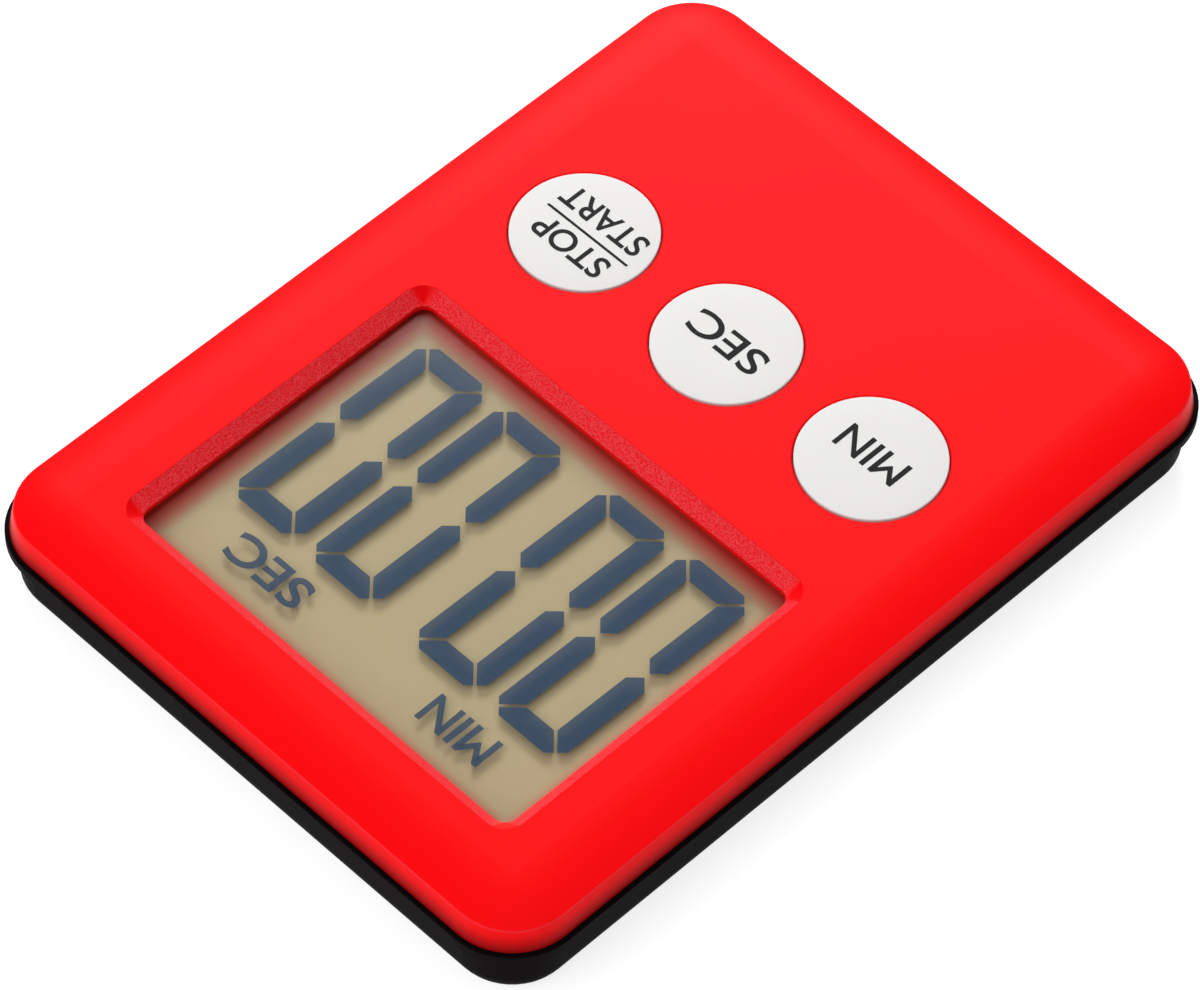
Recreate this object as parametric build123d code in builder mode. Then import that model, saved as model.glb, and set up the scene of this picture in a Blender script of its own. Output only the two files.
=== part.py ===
"""Slim digital kitchen timer, lying on its back: +X reads left to right, +Y up the face, +Z out of it.

The origin is under the middle of the case, in the plane of its back. All sizes are in millimetres.
"""
from build123d import *
from math import pi, radians, tan
import os

os.makedirs("parts", exist_ok=True)

# --- Case -------------------------------------------------------------------------------------
case_width = 60.0           # front cover at its crease, the widest line of the cover
case_length = 79.8
corner_radius = 5.5
face_z = 9.6                # flat middle of the face above the back
crown_drop = 0.7            # how far the face rolls down to the crease
crown_width = 5.0           # width of the rolled border of the face
crease_z = face_z - crown_drop
crease_softening = 0.2
skirt_bottom_z = 6.6        # lower edge of the front cover's side wall
skirt_flare = 9.9           # degrees the side wall leans outward below the crease
face_wall = 1.5
side_wall = 1.5
ceiling_z = face_z - face_wall

rim_top_z = 6.5             # parting line; the rear cover's rim stands proud of the front cover
rim_bottom_z = 5.6
rim_proud = 0.8
rim_softening = 0.12
tub_inset = 0.1             # rear tub sits back from the crease
tub_draft = 1.0             # degrees
tub_wall = 1.7
floor_thickness = 1.2
back_edge_round = 2.0
lip_root = 1.0              # how far the lip runs down the tub's wall
lip_height = 0.9            # alignment lip of the rear cover inside the front cover
lip_thickness = 0.6
lip_gap = 0.1

# --- Display ----------------------------------------------------------------------------------
window_width = 41.9         # clear opening
window_length = 31.6
window_centre_y = 15.95
window_chamfer = 1.2
window_chamfer_depth = 1.03
window_corner = 1.2
window_outer_corner = 2.04
glass_width = 44.6
glass_top_y = 33.2
glass_bottom_y = -5.2       # front glass, with the contact ledge
rear_glass_bottom_y = -2.3
glass_thickness = 0.55
cell_gap = 0.1
polariser_thickness = 0.2
reflector_thickness = 0.25
polariser_top_z = ceiling_z - 0.1
front_glass_z = polariser_top_z - polariser_thickness - glass_thickness
rear_glass_z = front_glass_z - cell_gap - glass_thickness
reflector_z = rear_glass_z - reflector_thickness
polariser_margin = 0.2
seal_width = 0.55
connector_width = 42.0
connector_depth = 2.2
connector_centre_y = -3.8
tray_wall = 1.2
tray_rib = 2.4
tray_pane = (19.0, 14.4)    # width and length of each opening under the glass
tray_overlap = 0.4          # height of the tray's walls beside the front glass
stack_clearance = 0.1       # round the glass and the connector, each side

# --- Circuit board ----------------------------------------------------------------------------
board_width = 54.4
board_length = 74.0
board_bottom_z = 4.0
board_top_z = 5.0
board_notch = 5.5
pad_thickness = 0.05
board_screw_x = 26.0
board_screw_ys = (22.0, -22.5)

# --- Buttons ----------------------------------------------------------------------------------
button_names = ("minute", "second", "start_stop")
button_pitch = 16.3
button_y = -13.73
button_middle_x = 0.14      # the row of buttons sits slightly to the right of the middle
button_radius = 6.25
button_gap = 0.1            # radial clearance in the cover
button_hole_softening = 0.12
button_top_z = 9.75
button_travel = 0.6
button_rim_round = 0.2
cap_wall = 1.1
flange_radius = 7.0
flange_top_z = 7.95
flange_bottom_z = 7.3
key_tab = (1.6, 0.7)        # width and reach of the tab that keeps a button from turning
tab_rib = (0.6, 1.1)        # width and length of the ribs either side of the tab
tab_rib_offset = 1.2        # from the middle of the tab to the middle of a rib
stem_radius = 2.2
stem_bottom_z = 7.02
dome_top_z = 7.0
pill_radius = 1.5
pill_thickness = 0.3
pill_bottom_z = 5.68
pad_margin = 0.7            # contact pads beyond the pill
pad_split = 0.35

# --- Battery and its door ---------------------------------------------------------------------
cell_centre = (13.0, -27.5)
cell_radius = 5.8
cell_height = 5.4
cell_bottom_z = 1.5
cell_top_z = cell_bottom_z + cell_height
door_radius = 7.85
door_recess_radius = 8.0
door_recess_depth = 0.7
door_flange_z = (0.05, 0.65)
door_boss_radius = 6.85
door_throat_radius = 7.0
door_top_z = 1.45
lug_radius = 7.95
lug_z = (1.3, 1.9)
lug_width = 3.0
lug_unlock_angle = 40.0     # degrees the door turns to free its lugs
well_radius = 8.2
well_wall = 0.8
well_top_z = 3.8
contact_thickness = 0.25
leaf_width = 4.0            # negative contact
side_leaf_width = 3.0       # positive contact
coin_slot = (11.0, 1.3, 0.55)    # length, width and depth
coin_slot_angle = -20.0
well_rib_width = 0.8
well_rib_clearance = 0.25

# --- Sounder ----------------------------------------------------------------------------------
buzzer_centre = (-13.5, -27.2)
buzzer_radius = 9.5
ceramic_radius = 7.0
disc_thickness = 0.2
buzzer_ring_top_z = 1.75
buzzer_ring_wall = 1.2
sound_hole_radius = 0.6
sound_hole_circle = 3.2
lead_radius = 0.35

# --- Stand ------------------------------------------------------------------------------------
stand_width = 26.0
stand_pivot_y = -14.0
stand_tip_y = 17.0
stand_thickness = 1.2
stand_z = 0.15
pivot_z = 1.05
barrel_radius = 0.85
pivot_radius = 0.6
pivot_clearance = 0.05
pivot_length = 2.2
recess_depth = 2.0
recess_gap = 0.3
recess_bottom_y = stand_pivot_y - 1.6
recess_top_y = stand_tip_y + recess_gap
recess_roof = 0.8           # wall left over a recess, inside the case
recess_wall = 1.5
finger_notch = (10.0, 3.2)  # width and length
finger_notch_overlap = 0.5

# --- Magnets and fasteners --------------------------------------------------------------------
magnet_x = 19.0
magnet_y = 27.0
magnet_radius = 5.0
magnet_thickness = 1.95
magnet_pocket_depth = 2.05
pocket_clearance = 0.1
case_screw_x = 24.6
case_screw_y = 34.5
case_screw_head = (1.55, 1.0)    # radius and height
case_screw_shank = (0.85, 5.4)
board_screw_head = (1.3, 0.6)
board_screw_shank = (0.65, 3.1)
screw_clearance = 0.02
head_recess_depth = 1.1
boss_radius = 2.0
board_boss_radius = 1.6
boss_bottom_z = 2.6
case_boss_bore = 4.6        # depths of the pilot holes
board_boss_bore = 2.4
pillar_wall = 0.3           # rear pillars beyond the bosses
pillar_gap = 0.1
rear_bore_clearance = 0.15

button_xs = [button_middle_x + step * button_pitch for step in (-1, 0, 1)]
board_screw_points = [(side * board_screw_x, y) for side in (-1, 1) for y in board_screw_ys]
case_screw_ys = (case_screw_y, -case_screw_y)
case_screw_points = [(side * case_screw_x, y) for side in (-1, 1) for y in case_screw_ys]
glass_centre_y = (glass_top_y + glass_bottom_y) / 2
rear_glass_centre_y = (glass_top_y + rear_glass_bottom_y) / 2
rear_glass_length = glass_top_y - rear_glass_bottom_y
window_centre = (0, window_centre_y)


# --- Covers -----------------------------------------------------------------------------------
def rounded_block(z_low, z_high, width, length, radius, mode=Mode.ADD, centre=(0, 0)):
    """Add or cut an upright block with rounded corners in the part being built."""
    with BuildSketch(Plane.XY.offset(z_low)) as outline:
        with Locations(centre):
            RectangleRounded(width, length, radius)
    extrude(outline.sketch, amount=z_high - z_low, mode=mode)


def posts(points, z_low, z_high, radius, mode=Mode.ADD):
    """Add or cut one upright cylinder at each point in the part being built."""
    with BuildSketch(Plane.XY.offset(z_low)) as circles:
        with Locations(*points):
            Circle(radius)
    extrude(circles.sketch, amount=z_high - z_low, mode=mode)


with BuildPart() as front_cover:
    rounded_block(crease_z, face_z, case_width, case_length, corner_radius)
    with BuildSketch(Plane.XY.offset(crease_z)):
        RectangleRounded(case_width, case_length, corner_radius)
    extrude(amount=skirt_bottom_z - crease_z, taper=-skirt_flare)
    # The face rolls down to the crease on an arc that leaves the flat middle tangentially
    with BuildLine(Plane.XY.offset(crease_z)) as crease:
        half_w = case_width / 2
        half_l = case_length / 2
        FilletPolyline((half_w, 0), (half_w, half_l), (-half_w, half_l), (-half_w, 0), radius=corner_radius)
        mirror(about=Plane.XZ)
    with BuildSketch(Plane.XZ):
        with BuildLine():
            roll_start = (half_w - crown_width, face_z)
            roll_end = (half_w, crease_z)
            outside_low = (half_w + 1, crease_z)
            outside_high = (half_w + 1, face_z + 1)
            above_start = (half_w - crown_width, face_z + 1)
            TangentArc(roll_start, roll_end, tangent=(1, 0))
            Polyline(roll_end, outside_low, outside_high, above_start, roll_start)
        make_face()
    sweep(path=crease.wire(), mode=Mode.SUBTRACT)
    crease_edges = front_cover.edges().filter_by_position(Axis.Z, crease_z - 0.01, crease_z + 0.01)
    fillet(crease_edges, crease_softening)
    # Hollow inside
    inner_width = case_width - 2 * side_wall
    inner_length = case_length - 2 * side_wall
    inner_radius = corner_radius - side_wall
    rounded_block(skirt_bottom_z, ceiling_z, inner_width, inner_length, inner_radius, Mode.SUBTRACT)
    # Display window: a sloping chamfer down to a short upright lip
    outer_opening = (face_z, window_chamfer, window_outer_corner)
    clear_opening = (face_z - window_chamfer_depth, 0, window_corner)
    for z, grow, corner in (outer_opening, clear_opening):
        with BuildSketch(Plane.XY.offset(z)):
            with Locations(window_centre):
                RectangleRounded(window_width + 2 * grow, window_length + 2 * grow, corner)
    loft(mode=Mode.SUBTRACT)
    lip_opening = (window_width, window_length, window_corner)
    rounded_block(ceiling_z, face_z, *lip_opening, Mode.SUBTRACT, window_centre)
    # Button holes with softened edges
    hole_radius = button_radius + button_gap
    posts([(x, button_y) for x in button_xs], ceiling_z, face_z, hole_radius, Mode.SUBTRACT)
    circles = front_cover.edges().filter_by(GeomType.CIRCLE)
    face_circles = circles.filter_by_position(Axis.Z, face_z - 0.01, face_z)
    hole_edges = face_circles.filter_by(lambda edge: abs(edge.radius - hole_radius) < 0.01)
    fillet(hole_edges, button_hole_softening)
    # Ribs either side of each button's tab
    for x in button_xs:
        for side in (-1, 1):
            rib_centre = (x + side * tab_rib_offset, button_y - flange_radius - key_tab[1])
            rib_low_z = flange_bottom_z - button_travel
            rounded_block(rib_low_z, ceiling_z, tab_rib[0], tab_rib[1], 0.1, centre=rib_centre)
    # Screw bosses hanging from the ceiling
    posts(case_screw_points, boss_bottom_z, ceiling_z, boss_radius)
    posts(board_screw_points, board_top_z, ceiling_z, board_boss_radius)
    case_bore_radius = case_screw_shank[0] + screw_clearance
    board_bore_radius = board_screw_shank[0] + screw_clearance
    posts(case_screw_points, boss_bottom_z, boss_bottom_z + case_boss_bore, case_bore_radius, Mode.SUBTRACT)
    posts(board_screw_points, board_top_z, board_top_z + board_boss_bore, board_bore_radius, Mode.SUBTRACT)
front_cover.part.label = "front_cover"
export_step(front_cover.part, "parts/front_cover.step")

with BuildPart() as rear_cover:
    tub_width = case_width - 2 * tub_inset
    tub_length = case_length - 2 * tub_inset
    tub_radius = corner_radius - tub_inset
    with BuildSketch(Plane.XY.offset(rim_top_z)):
        RectangleRounded(tub_width, tub_length, tub_radius)
    extrude(amount=-rim_top_z, taper=tub_draft)
    fillet(rear_cover.faces().sort_by(Axis.Z)[0].outer_wire().edges(), back_edge_round)
    rim_width = case_width + 2 * rim_proud
    rim_length = case_length + 2 * rim_proud
    rounded_block(rim_bottom_z, rim_top_z, rim_width, rim_length, corner_radius + rim_proud)
    rim_faces = rear_cover.faces().filter_by(Axis.Z).sort_by(Axis.Z)
    fillet(rim_faces[-1].outer_wire().edges(), rim_softening)
    # Hollow inside, then the alignment lip that enters the front cover
    well_width = tub_width - 2 * tub_wall
    well_length = tub_length - 2 * tub_wall
    well_corner = tub_radius - tub_wall
    rounded_block(floor_thickness, rim_top_z, well_width, well_length, well_corner, Mode.SUBTRACT)
    lip_width = case_width - 2 * side_wall - 2 * lip_gap
    lip_length = case_length - 2 * side_wall - 2 * lip_gap
    lip_corner = corner_radius - side_wall - lip_gap
    lip_inner_width = lip_width - 2 * lip_thickness
    lip_inner_length = lip_length - 2 * lip_thickness
    lip_inner_corner = lip_corner - lip_thickness
    with BuildSketch(Plane.XY.offset(rim_top_z - lip_root)):
        RectangleRounded(lip_width, lip_length, lip_corner)
        RectangleRounded(lip_inner_width, lip_inner_length, lip_inner_corner, mode=Mode.SUBTRACT)
    extrude(amount=lip_root + lip_height)
    # Raised roof over the stand's recess, and the magnet pockets' roofs
    island_bottom_y = recess_bottom_y - recess_wall
    island_length = recess_top_y + finger_notch[1] + recess_wall - island_bottom_y
    island_centre = (0, island_bottom_y + island_length / 2)
    island_width = stand_width + 2 * pivot_length + 2
    island_top_z = recess_depth + recess_roof
    rounded_block(floor_thickness, island_top_z, island_width, island_length, 2, centre=island_centre)
    magnet_points = [(-magnet_x, magnet_y), (magnet_x, magnet_y)]
    pocket_radius = magnet_radius + pocket_clearance
    posts(magnet_points, floor_thickness, magnet_pocket_depth + recess_roof, pocket_radius + 1)
    posts(magnet_points, 0, magnet_pocket_depth, pocket_radius, Mode.SUBTRACT)
    # Screw pillars with counterbored holes from the back
    posts(case_screw_points, floor_thickness, boss_bottom_z - pillar_gap, boss_radius + pillar_wall)
    rear_bore_radius = case_screw_shank[0] + rear_bore_clearance
    head_bore_radius = case_screw_head[0] + rear_bore_clearance
    with Locations(*[(x, y, 0) for x, y in case_screw_points]):
        CounterBoreHole(rear_bore_radius, head_bore_radius, head_recess_depth, boss_bottom_z)

    # Stand recess, fingernail notch beyond its tip, and bores for the stand's moulded pivots
    recess_length = recess_top_y - recess_bottom_y
    recess_centre = (0, (recess_top_y + recess_bottom_y) / 2)
    recess_width = stand_width + 2 * recess_gap
    rounded_block(0, recess_depth, recess_width, recess_length, 0.5, Mode.SUBTRACT, recess_centre)
    notch_centre = (0, recess_top_y + finger_notch[1] / 2 - finger_notch_overlap)
    notch_length = finger_notch[1] + 2 * finger_notch_overlap
    rounded_block(0, recess_depth, finger_notch[0], notch_length, 1.5, Mode.SUBTRACT, notch_centre)
    with BuildSketch(Plane.YZ.offset(-stand_width / 2 - pivot_length - pivot_clearance)):
        with Locations((stand_pivot_y, pivot_z)):
            Circle(pivot_radius + pivot_clearance)
    extrude(amount=stand_width + 2 * pivot_length + 2 * pivot_clearance, mode=Mode.SUBTRACT)
    # Battery well with locating ribs, and the bayonet seat for its door
    posts([cell_centre], floor_thickness, well_top_z, well_radius + well_wall)
    posts([cell_centre], 0, door_recess_depth, door_recess_radius, Mode.SUBTRACT)
    posts([cell_centre], door_recess_depth, floor_thickness, door_throat_radius, Mode.SUBTRACT)
    posts([cell_centre], floor_thickness, well_top_z, well_radius, Mode.SUBTRACT)
    with BuildSketch(Plane.XY.offset(door_recess_depth)):
        with Locations(cell_centre):
            Rectangle(2 * lug_radius + 0.3, lug_width + 0.4, rotation=-lug_unlock_angle)
    extrude(amount=floor_thickness - door_recess_depth, mode=Mode.SUBTRACT)
    well_rib_low_z = lug_z[1] + well_rib_clearance
    well_rib_length = well_radius - cell_radius
    with BuildSketch(Plane.XY.offset(well_rib_low_z)):
        with Locations(cell_centre):
            with PolarLocations(cell_radius + well_rib_clearance + well_rib_length / 2, 4, start_angle=45):
                Rectangle(well_rib_length, well_rib_width)
    extrude(amount=well_top_z - well_rib_low_z)
    # Ring that holds the sounder's disc off the floor, over the sound holes
    posts([buzzer_centre], floor_thickness, buzzer_ring_top_z, buzzer_radius)
    ring_bore = buzzer_radius - buzzer_ring_wall
    posts([buzzer_centre], floor_thickness, buzzer_ring_top_z, ring_bore, Mode.SUBTRACT)
    posts([buzzer_centre], 0, floor_thickness, sound_hole_radius, Mode.SUBTRACT)
    with BuildSketch():
        with Locations(buzzer_centre):
            with PolarLocations(sound_hole_circle, 6):
                Circle(sound_hole_radius)
    extrude(amount=floor_thickness, mode=Mode.SUBTRACT)
rear_cover.part.label = "rear_cover"
export_step(rear_cover.part, "parts/rear_cover.step")

# --- Display stack ----------------------------------------------------------------------------
polariser_width = glass_width - 2 * polariser_margin
polariser_length = rear_glass_length - 2 * polariser_margin

with BuildPart() as lcd_front_polariser:
    polariser_centre = (0, rear_glass_centre_y)
    low = polariser_top_z - polariser_thickness
    rounded_block(low, polariser_top_z, polariser_width, polariser_length, 0.3, centre=polariser_centre)
lcd_front_polariser.part.label = "lcd_front_polariser"
export_step(lcd_front_polariser.part, "parts/lcd_front_polariser.step")

with BuildPart() as lcd_front_glass:
    with BuildSketch(Plane.XY.offset(front_glass_z)):
        with Locations((0, glass_centre_y)):
            Rectangle(glass_width, glass_top_y - glass_bottom_y)
    extrude(amount=glass_thickness)
    chamfer(lcd_front_glass.edges().filter_by(Axis.Z), 0.3)
lcd_front_glass.part.label = "lcd_front_glass"
export_step(lcd_front_glass.part, "parts/lcd_front_glass.step")

with BuildPart() as lcd_seal:
    with BuildSketch(Plane.XY.offset(front_glass_z - cell_gap)):
        with Locations((0, rear_glass_centre_y)):
            RectangleRounded(polariser_width, polariser_length, 0.8)
            seal_opening = (polariser_width - 2 * seal_width, polariser_length - 2 * seal_width)
            RectangleRounded(*seal_opening, 0.6, mode=Mode.SUBTRACT)
    extrude(amount=cell_gap)
lcd_seal.part.label = "lcd_seal"
export_step(lcd_seal.part, "parts/lcd_seal.step")

with BuildPart() as lcd_rear_glass:
    with BuildSketch(Plane.XY.offset(rear_glass_z)):
        with Locations((0, rear_glass_centre_y)):
            Rectangle(glass_width, rear_glass_length)
    extrude(amount=glass_thickness)
    chamfer(lcd_rear_glass.edges().filter_by(Axis.Z), 0.3)
lcd_rear_glass.part.label = "lcd_rear_glass"
export_step(lcd_rear_glass.part, "parts/lcd_rear_glass.step")

with BuildPart() as lcd_rear_reflector:
    rounded_block(reflector_z, rear_glass_z, polariser_width, polariser_length, 0.3, centre=polariser_centre)
lcd_rear_reflector.part.label = "lcd_rear_reflector"
export_step(lcd_rear_reflector.part, "parts/lcd_rear_reflector.step")

with BuildPart() as lcd_frame:
    # Tray under the glass: a cross of ribs, walls round the glass and a slot for the connector
    tray_width = glass_width + 2 * tray_wall
    tray_bottom_y = glass_bottom_y - 0.7
    tray_top_y = glass_top_y + tray_wall
    tray_centre = (0, (tray_top_y + tray_bottom_y) / 2)
    tray_top_z = front_glass_z + tray_overlap
    rounded_block(board_top_z, tray_top_z, tray_width, tray_top_y - tray_bottom_y, 1, centre=tray_centre)
    with BuildSketch(Plane.XY.offset(reflector_z)):
        with Locations((0, glass_centre_y)):
            seat_length = glass_top_y - glass_bottom_y + 2 * stack_clearance
            Rectangle(glass_width + 2 * stack_clearance, seat_length)
    extrude(amount=tray_top_z - reflector_z, mode=Mode.SUBTRACT)
    with BuildSketch(Plane.XY.offset(board_top_z)):
        with Locations((0, connector_centre_y)):
            Rectangle(connector_width + 2 * stack_clearance, connector_depth + 2 * stack_clearance)
        with Locations((0, rear_glass_centre_y + 0.8)):
            with GridLocations(tray_pane[0] + tray_rib, tray_pane[1] + tray_rib, 2, 2):
                RectangleRounded(tray_pane[0], tray_pane[1], 1)
    extrude(amount=reflector_z - board_top_z, mode=Mode.SUBTRACT)
    posts(case_screw_points, board_top_z, tray_top_z, boss_radius + 2 * stack_clearance, Mode.SUBTRACT)
lcd_frame.part.label = "lcd_frame"
export_step(lcd_frame.part, "parts/lcd_frame.step")

with BuildPart() as zebra_connector:
    with BuildSketch(Plane.XY.offset(board_top_z)):
        with Locations((0, connector_centre_y)):
            Rectangle(connector_width, connector_depth)
    extrude(amount=front_glass_z - board_top_z)
    chamfer(zebra_connector.edges().filter_by(Axis.Z), 0.2)
zebra_connector.part.label = "zebra_connector"
export_step(zebra_connector.part, "parts/zebra_connector.step")

# --- Circuit board and what is soldered to it -------------------------------------------------
with BuildPart() as circuit_board:
    with BuildSketch(Plane.XY.offset(board_bottom_z)):
        RectangleRounded(board_width, board_length, 1.5)
        with GridLocations(board_width, board_length, 2, 2):
            Rectangle(2 * board_notch, 2 * board_notch, mode=Mode.SUBTRACT)
        with Locations(cell_centre):
            Circle(cell_radius + 0.6, mode=Mode.SUBTRACT)
        with Locations(*board_screw_points):
            Circle(board_screw_shank[0] + 0.15, mode=Mode.SUBTRACT)
    extrude(amount=board_top_z - board_bottom_z)
circuit_board.part.label = "circuit_board"
export_step(circuit_board.part, "parts/circuit_board.step")

with BuildPart() as key_contact_pads:
    # Under each key, two half discs with a gap that the key's carbon pill bridges
    with BuildSketch(Plane.XY.offset(board_top_z)):
        with Locations(*[(x, button_y) for x in button_xs]):
            Circle(pill_radius + pad_margin)
            Rectangle(pad_split, 2 * pill_radius + 2, mode=Mode.SUBTRACT)
    extrude(amount=pad_thickness)
key_contact_pads.part.label = "key_contact_pads"
export_step(key_contact_pads.part, "parts/key_contact_pads.step")

with BuildPart() as chip_resin:
    # Drop of black resin over the timing chip, on the underside of the board
    chip_centre = (-4.0, 27.0)
    chip_radius = 4.5
    chip_height = 1.1
    with BuildSketch(Plane.XZ.offset(-chip_centre[1])):
        with BuildLine():
            rim_point = (chip_centre[0] + chip_radius, board_bottom_z)
            crown_point = (chip_centre[0], board_bottom_z - chip_height)
            TangentArc(crown_point, rim_point, tangent=(1, 0))
            Polyline(rim_point, (chip_centre[0], board_bottom_z), crown_point)
        make_face()
    revolve(axis=Axis((chip_centre[0], chip_centre[1], 0), (0, 0, 1)))
chip_resin.part.label = "chip_resin"
export_step(chip_resin.part, "parts/chip_resin.step")

with BuildPart() as crystal_can:
    # Small quartz can lying along the board, its two legs bent up to their pads
    can_centre_x = 6.5
    can_start_y = 24.5
    can_length = 6.0
    can_radius = 1.0
    with BuildSketch(Plane.XZ.offset(-can_start_y)):
        with Locations((can_centre_x, board_bottom_z - can_radius - 0.05)):
            Circle(can_radius)
    extrude(amount=-can_length)
    fillet(crystal_can.edges().filter_by(GeomType.CIRCLE).sort_by(Axis.Y)[-1], 0.3)
    for side in (-1, 1):
        with BuildSketch(Plane.XZ.offset(-can_start_y)):
            with Locations((can_centre_x + side * 0.4, board_bottom_z - can_radius - 0.05)):
                Circle(0.15)
        extrude(amount=1.2)
        with BuildSketch(Plane.XY.offset(board_bottom_z)):
            with Locations((can_centre_x + side * 0.4, can_start_y - 1.05)):
                Circle(0.15)
        extrude(amount=-can_radius - 0.05)
crystal_can.part.label = "crystal_can"
export_step(crystal_can.part, "parts/crystal_can.step")

capacitor_size = (1.6, 0.8, 0.8)
resistor_size = (1.6, 0.8, 0.45)
capacitor_points = [(2.5, 30.5), (2.5, 28.5), (-10.5, 24.5)]
resistor_points = [(-10.5, 26.5), (-10.5, 28.5), (-10.5, 30.5), (2.0, 24.5)]
for name, size, points in (("smd_capacitors", capacitor_size, capacitor_points),
                           ("smd_resistors", resistor_size, resistor_points)):
    with BuildPart() as chips:
        with BuildSketch(Plane.XY.offset(board_bottom_z)):
            with Locations(*points):
                RectangleRounded(size[0], size[1], 0.08)
        extrude(amount=-size[2])
    chips.part.label = name
    export_step(chips.part, f"parts/{name}.step")

# --- Buttons, rubber keys and carbon pills ----------------------------------------------------
for name, x in zip(button_names, button_xs):
    key_axis = Axis((x, button_y, 0), (0, 0, 1))
    key_plane = Plane(origin=(x, button_y, 0), x_dir=(1, 0, 0), z_dir=(0, -1, 0))

    with BuildPart() as button:
        # Cap that pokes through the cover, a flange that stops under it, and a stem on the rubber key
        with BuildSketch(key_plane):
            with BuildLine():
                cap_bore = button_radius - cap_wall
                Polyline((0, stem_bottom_z), (stem_radius, stem_bottom_z), (stem_radius, flange_top_z),
                         (cap_bore, flange_top_z), (cap_bore, flange_bottom_z),
                         (flange_radius, flange_bottom_z), (flange_radius, flange_top_z),
                         (button_radius, flange_top_z), (button_radius, button_top_z), (0, button_top_z),
                         (0, stem_bottom_z))
            make_face()
        revolve(axis=key_axis)
        with BuildSketch(Plane.XY.offset(flange_bottom_z)):
            with Locations((x, button_y - flange_radius)):
                Rectangle(key_tab[0], 2 * key_tab[1])
        extrude(amount=flange_top_z - flange_bottom_z)
        top_edges = button.edges().filter_by(GeomType.CIRCLE).group_by(Axis.Z)[-1]
        fillet(top_edges, button_rim_round)
    button.part.label = f"{name}_button"
    export_step(button.part, f"parts/{name}_button.step")

    with BuildPart() as key_dome:
        # Silicone key: foot ring on the board, thin sloping skirt, solid plunger under the button
        with BuildSketch(key_plane):
            with BuildLine():
                pill_top_z = pill_bottom_z + pill_thickness
                Polyline((0, dome_top_z), (2.1, dome_top_z), (2.3, 6.4), (3.9, 5.5), (4.6, 5.5),
                         (4.6, board_top_z), (3.6, board_top_z), (3.5, 5.35), (1.9, 6.1),
                         (1.9, pill_top_z), (0, pill_top_z), (0, dome_top_z))
            make_face()
        revolve(axis=key_axis)
    key_dome.part.label = f"{name}_key_dome"
    export_step(key_dome.part, f"parts/{name}_key_dome.step")

    with BuildPart() as carbon_pill:
        with BuildSketch(Plane.XY.offset(pill_bottom_z)):
            with Locations((x, button_y)):
                Circle(pill_radius)
        extrude(amount=pill_thickness)
    carbon_pill.part.label = f"{name}_carbon_pill"
    export_step(carbon_pill.part, f"parts/{name}_carbon_pill.step")

# --- Sounder ----------------------------------------------------------------------------------
brass_top_z = buzzer_ring_top_z + disc_thickness
ceramic_top_z = brass_top_z + disc_thickness

with BuildPart() as buzzer_brass_disc:
    posts([buzzer_centre], buzzer_ring_top_z, brass_top_z, buzzer_radius)
buzzer_brass_disc.part.label = "buzzer_brass_disc"
export_step(buzzer_brass_disc.part, "parts/buzzer_brass_disc.step")

with BuildPart() as buzzer_ceramic_disc:
    posts([buzzer_centre], brass_top_z, ceramic_top_z, ceramic_radius)
buzzer_ceramic_disc.part.label = "buzzer_ceramic_disc"
export_step(buzzer_ceramic_disc.part, "parts/buzzer_ceramic_disc.step")

lead_z = 3.55               # the leads end flat under the board
lead_routes = {
    "red": [(-13.5, -24.7, ceramic_top_z + 0.4), (-10.0, -23.6, 2.7), (-5.5, -21.9, 3.3),
            (-1.5, -21.4, lead_z), (2.2, -20.4, lead_z)],
    "black": [(-13.5, -19.3, brass_top_z + 0.4), (-10.0, -19.2, 2.6), (-6.0, -18.6, 3.2),
              (-2.0, -18.9, lead_z), (1.6, -18.3, lead_z)],
}


def bend_radii(points):
    """Largest radius at each corner that its two runs allow."""
    places = [Vector(*point) for point in points]
    radii = []
    for before, corner, after in zip(places, places[1:], places[2:]):
        first, second = corner - before, after - corner
        turn = radians(first.get_angle(second))
        radii.append(0.45 * min(first.length, second.length) / tan(turn / 2))
    return radii


for colour, route in lead_routes.items():
    radii = bend_radii(route)
    print(f"{colour} lead bend radii:", [round(radius, 1) for radius in radii])
    with BuildPart() as lead:
        with BuildLine() as lead_path:
            FilletPolyline(*route, radius=radii)
        with BuildSketch(Plane(origin=lead_path.line @ 0, z_dir=lead_path.line % 0)):
            Circle(lead_radius)
        sweep(path=lead_path.wire())
    print(f"{colour} lead volume over section times length:",
          round(lead.part.volume / (pi * lead_radius ** 2 * lead_path.wire().length), 4))
    lead.part.label = f"buzzer_lead_{colour}"
    export_step(lead.part, f"parts/buzzer_lead_{colour}.step")

with BuildPart() as lead_solder:
    blob_radius = 0.9
    blob_height = 0.85
    for route, disc_top_z in ((lead_routes["red"], ceramic_top_z), (lead_routes["black"], brass_top_z)):
        with BuildSketch(Plane.XY.offset(disc_top_z)):
            with Locations(route[0][:2]):
                Circle(blob_radius)
        extrude(amount=blob_height, taper=25)
        with BuildSketch(Plane.XY.offset(board_bottom_z)):
            with Locations(route[-1][:2]):
                Circle(blob_radius)
        extrude(amount=-blob_height, taper=25)
lead_solder.part.label = "lead_solder"
export_step(lead_solder.part, "parts/lead_solder.step")

# --- Battery, its contacts and its door -------------------------------------------------------
cell_axis = Axis((cell_centre[0], cell_centre[1], 0), (0, 0, 1))
cell_base = (cell_centre[0], cell_centre[1], cell_bottom_z)
cell_plane = Plane(origin=cell_base, x_dir=(1, 0, 0), z_dir=(0, -1, 0))

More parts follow.
